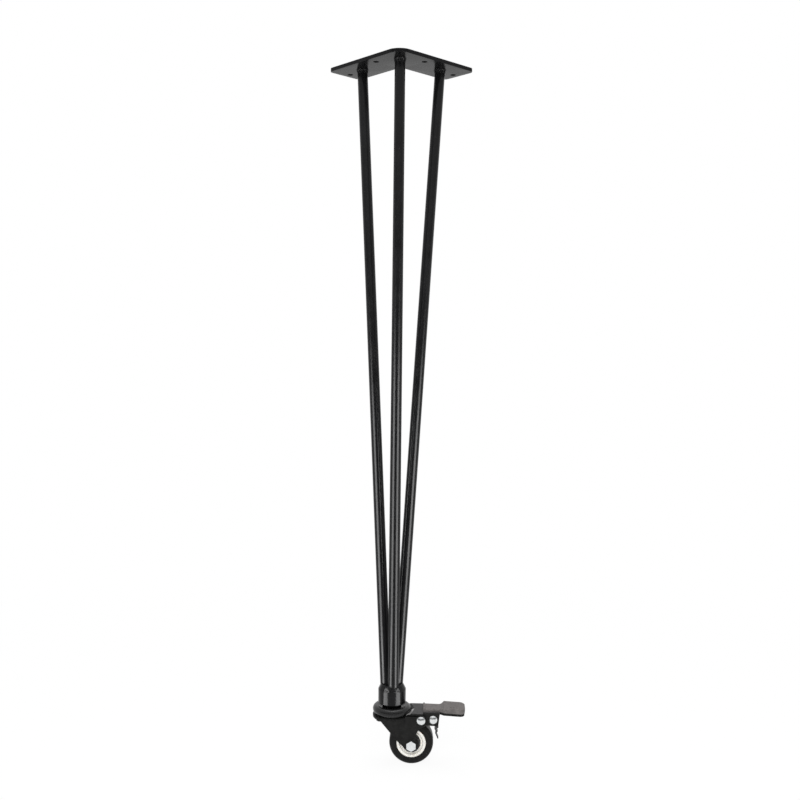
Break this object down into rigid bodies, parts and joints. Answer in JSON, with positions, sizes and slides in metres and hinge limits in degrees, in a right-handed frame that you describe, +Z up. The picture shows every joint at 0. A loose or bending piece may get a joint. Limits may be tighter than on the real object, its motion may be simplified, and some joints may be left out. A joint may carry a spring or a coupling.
{
  "type": "hairpin table leg",
  "caption": "Black steel hairpin table leg: round rods from an L-shaped corner plate down to a welded collar, on a swivel castor with a foot brake.",
  "frame": {"origin": "on the plate's top face, where the centre lines of its two arms cross", "axes": "+X to the right along the row of screw holes; +Y into the table, from the plate's outer corner to its inside corner; +Z up, out of the plate's top face"},
  "size_m": [0.1662, 0.1808, 0.7761],
  "materials": {
    "black_coat": "satin",
    "black_steel": "gloss",
    "race_steel": "satin",
    "zinc": "satin",
    "bearing_steel": "polished",
    "core_plastic": "matte",
    "cap_plastic": "satin",
    "tread": "satin",
    "pedal_plastic": "matte",
    "spring_steel": "satin"
  },
  "bodies": {
    "leg": {"mounting_plate": "black_coat", "center_rod": "black_coat", "left_rod": "black_coat", "right_rod": "black_coat", "plate_welds": "black_coat", "collar": "black_coat", "collar_weld": "black_coat", "caster_stem": "black_steel", "upper_race": "race_steel", "lower_race": "race_steel", "upper_balls": "bearing_steel", "lower_balls": "bearing_steel"},
    "swivel": {"yoke": "black_steel", "axle_bolt": "zinc", "axle_nut": "zinc", "axle_sleeve": "bearing_steel", "axle_spacers": "bearing_steel", "bearing_inner_rings": "bearing_steel", "pivot_rivet": "zinc"},
    "wheel": {"wheel_core": "core_plastic", "tyre": "tread", "dust_caps": "cap_plastic", "bearing_outer_rings": "bearing_steel", "bearing_balls": "bearing_steel", "bearing_shields": "bearing_steel"},
    "brake": {"brake_lever": "black_steel", "pedal_cover": "pedal_plastic", "brake_shoe": "spring_steel", "shoe_rivet": "zinc"}
  },
  "joints": [
    {"name": "swivel_turn", "type": "hinge", "parent": "leg", "child": "swivel", "pos_m": [0, -0.077, -0.73], "axis": [0, 0, 1], "continuous": true},
    {"name": "wheel_spin", "type": "hinge", "parent": "swivel", "child": "wheel", "pos_m": [0.0214, -0.077, -0.75229], "axis": [0, 1, 0], "continuous": true},
    {"name": "brake_pedal", "type": "hinge", "parent": "swivel", "child": "brake", "pos_m": [0.0318, -0.077, -0.72549], "axis": [0, 1, 0], "range_deg": [0, 7]}
  ]
}
